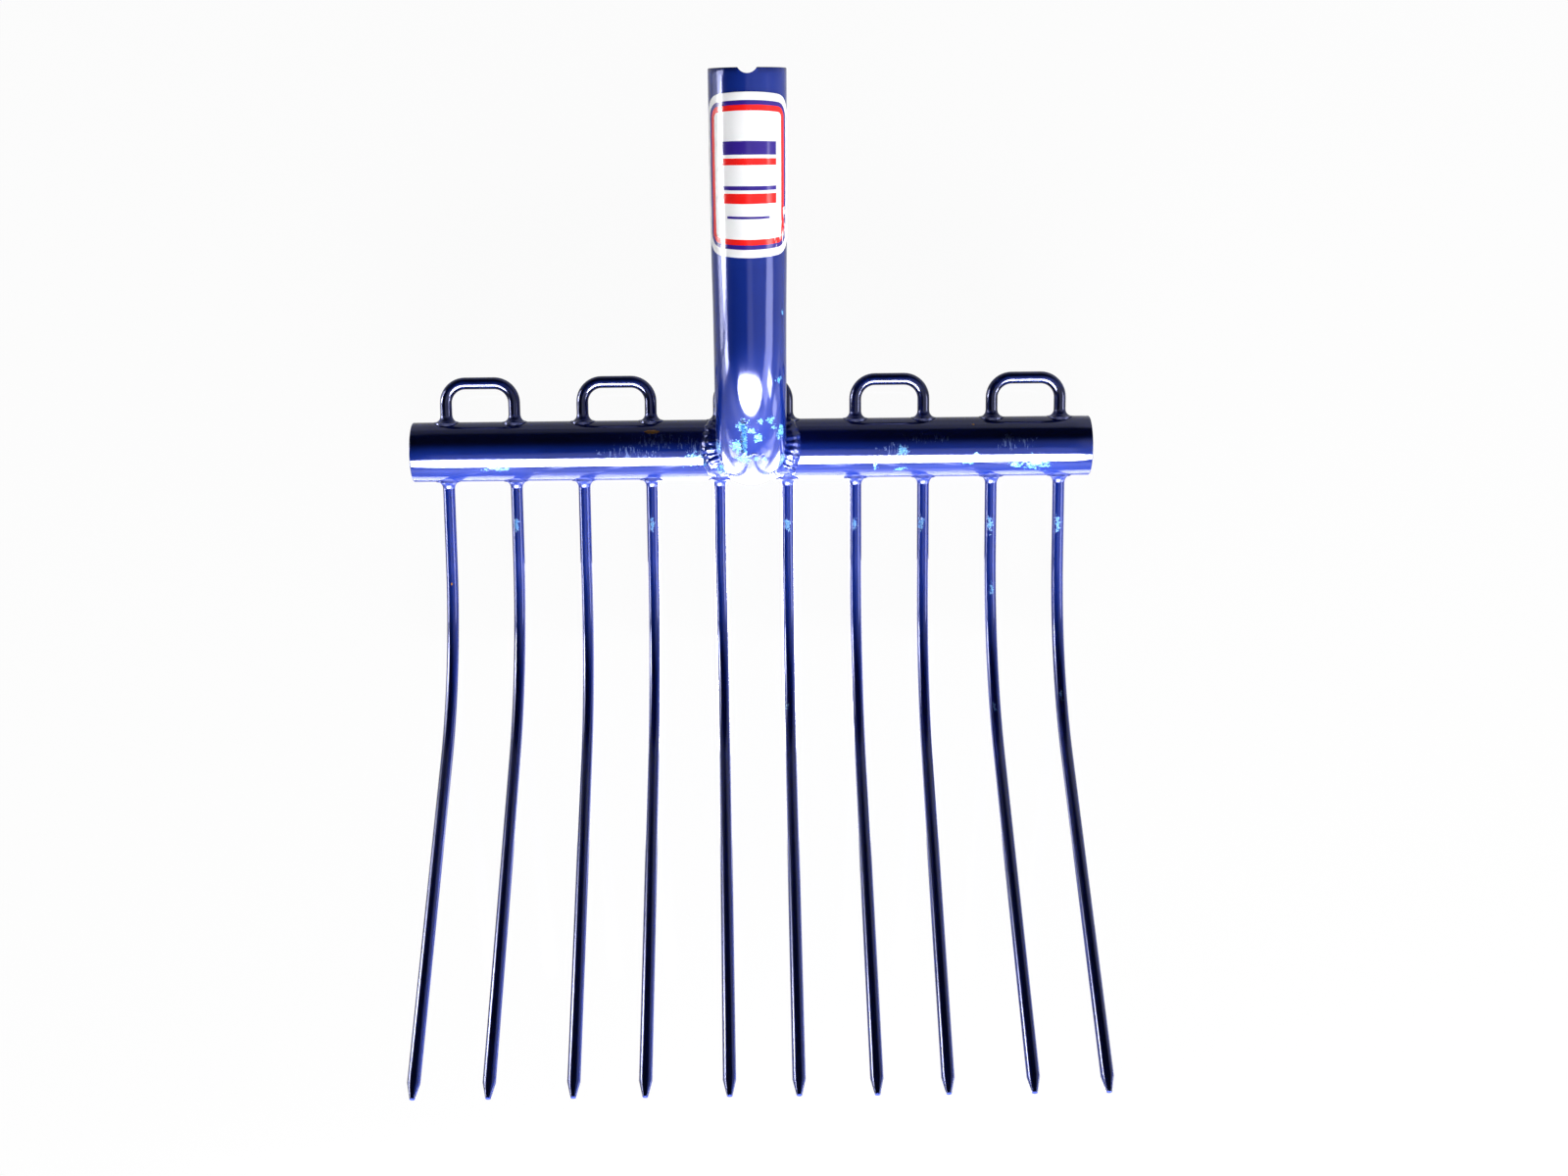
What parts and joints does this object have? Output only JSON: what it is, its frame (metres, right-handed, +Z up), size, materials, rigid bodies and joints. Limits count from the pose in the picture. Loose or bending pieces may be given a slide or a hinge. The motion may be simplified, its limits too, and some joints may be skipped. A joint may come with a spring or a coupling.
{
  "type": "shavings fork head",
  "caption": "Welded steel fork head: a round crossbar with long curved rod tines, closed rod loops behind it and an elbowed tube socket for a handle.",
  "frame": {"origin": "on the floor under the middle of the head's box, as the head lies with the crossbar's underside and the tines' bends on the floor", "axes": "+X along the crossbar; +Y from the tines' points to the socket's mouth, the longest extent; +Z up from the floor, the side that the tines' points and the socket rise to"},
  "size_m": [0.361, 0.4938, 0.1484],
  "materials": {
    "navy_coat": "glossy navy powder coat on steel",
    "weld_coat": "glossy navy powder coat over weld beads",
    "plug_plastic": "dark moulded plastic",
    "label_film": null
  },
  "bodies": {
    "root": {"crossbar_tube": "navy_coat", "crossbar_plug_left": "plug_plastic", "crossbar_plug_right": "plug_plastic", "tine_pair_1": "navy_coat", "tine_pair_2": "navy_coat", "tine_pair_3": "navy_coat", "tine_pair_4": "navy_coat", "tine_pair_5": "navy_coat", "tine_weld_1": "weld_coat", "tine_weld_2": "weld_coat", "tine_weld_3": "weld_coat", "tine_weld_4": "weld_coat", "tine_weld_5": "weld_coat", "tine_weld_6": "weld_coat", "tine_weld_7": "weld_coat", "tine_weld_8": "weld_coat", "tine_weld_9": "weld_coat", "tine_weld_10": "weld_coat", "loop_weld_1": "weld_coat", "loop_weld_2": "weld_coat", "loop_weld_3": "weld_coat", "loop_weld_4": "weld_coat", "loop_weld_5": "weld_coat", "loop_weld_6": "weld_coat", "loop_weld_7": "weld_coat", "loop_weld_8": "weld_coat", "loop_weld_9": "weld_coat", "loop_weld_10": "weld_coat", "socket_neck": "navy_coat", "neck_weld": "weld_coat", "socket_label": "label_film"}
  },
  "joints": []
}
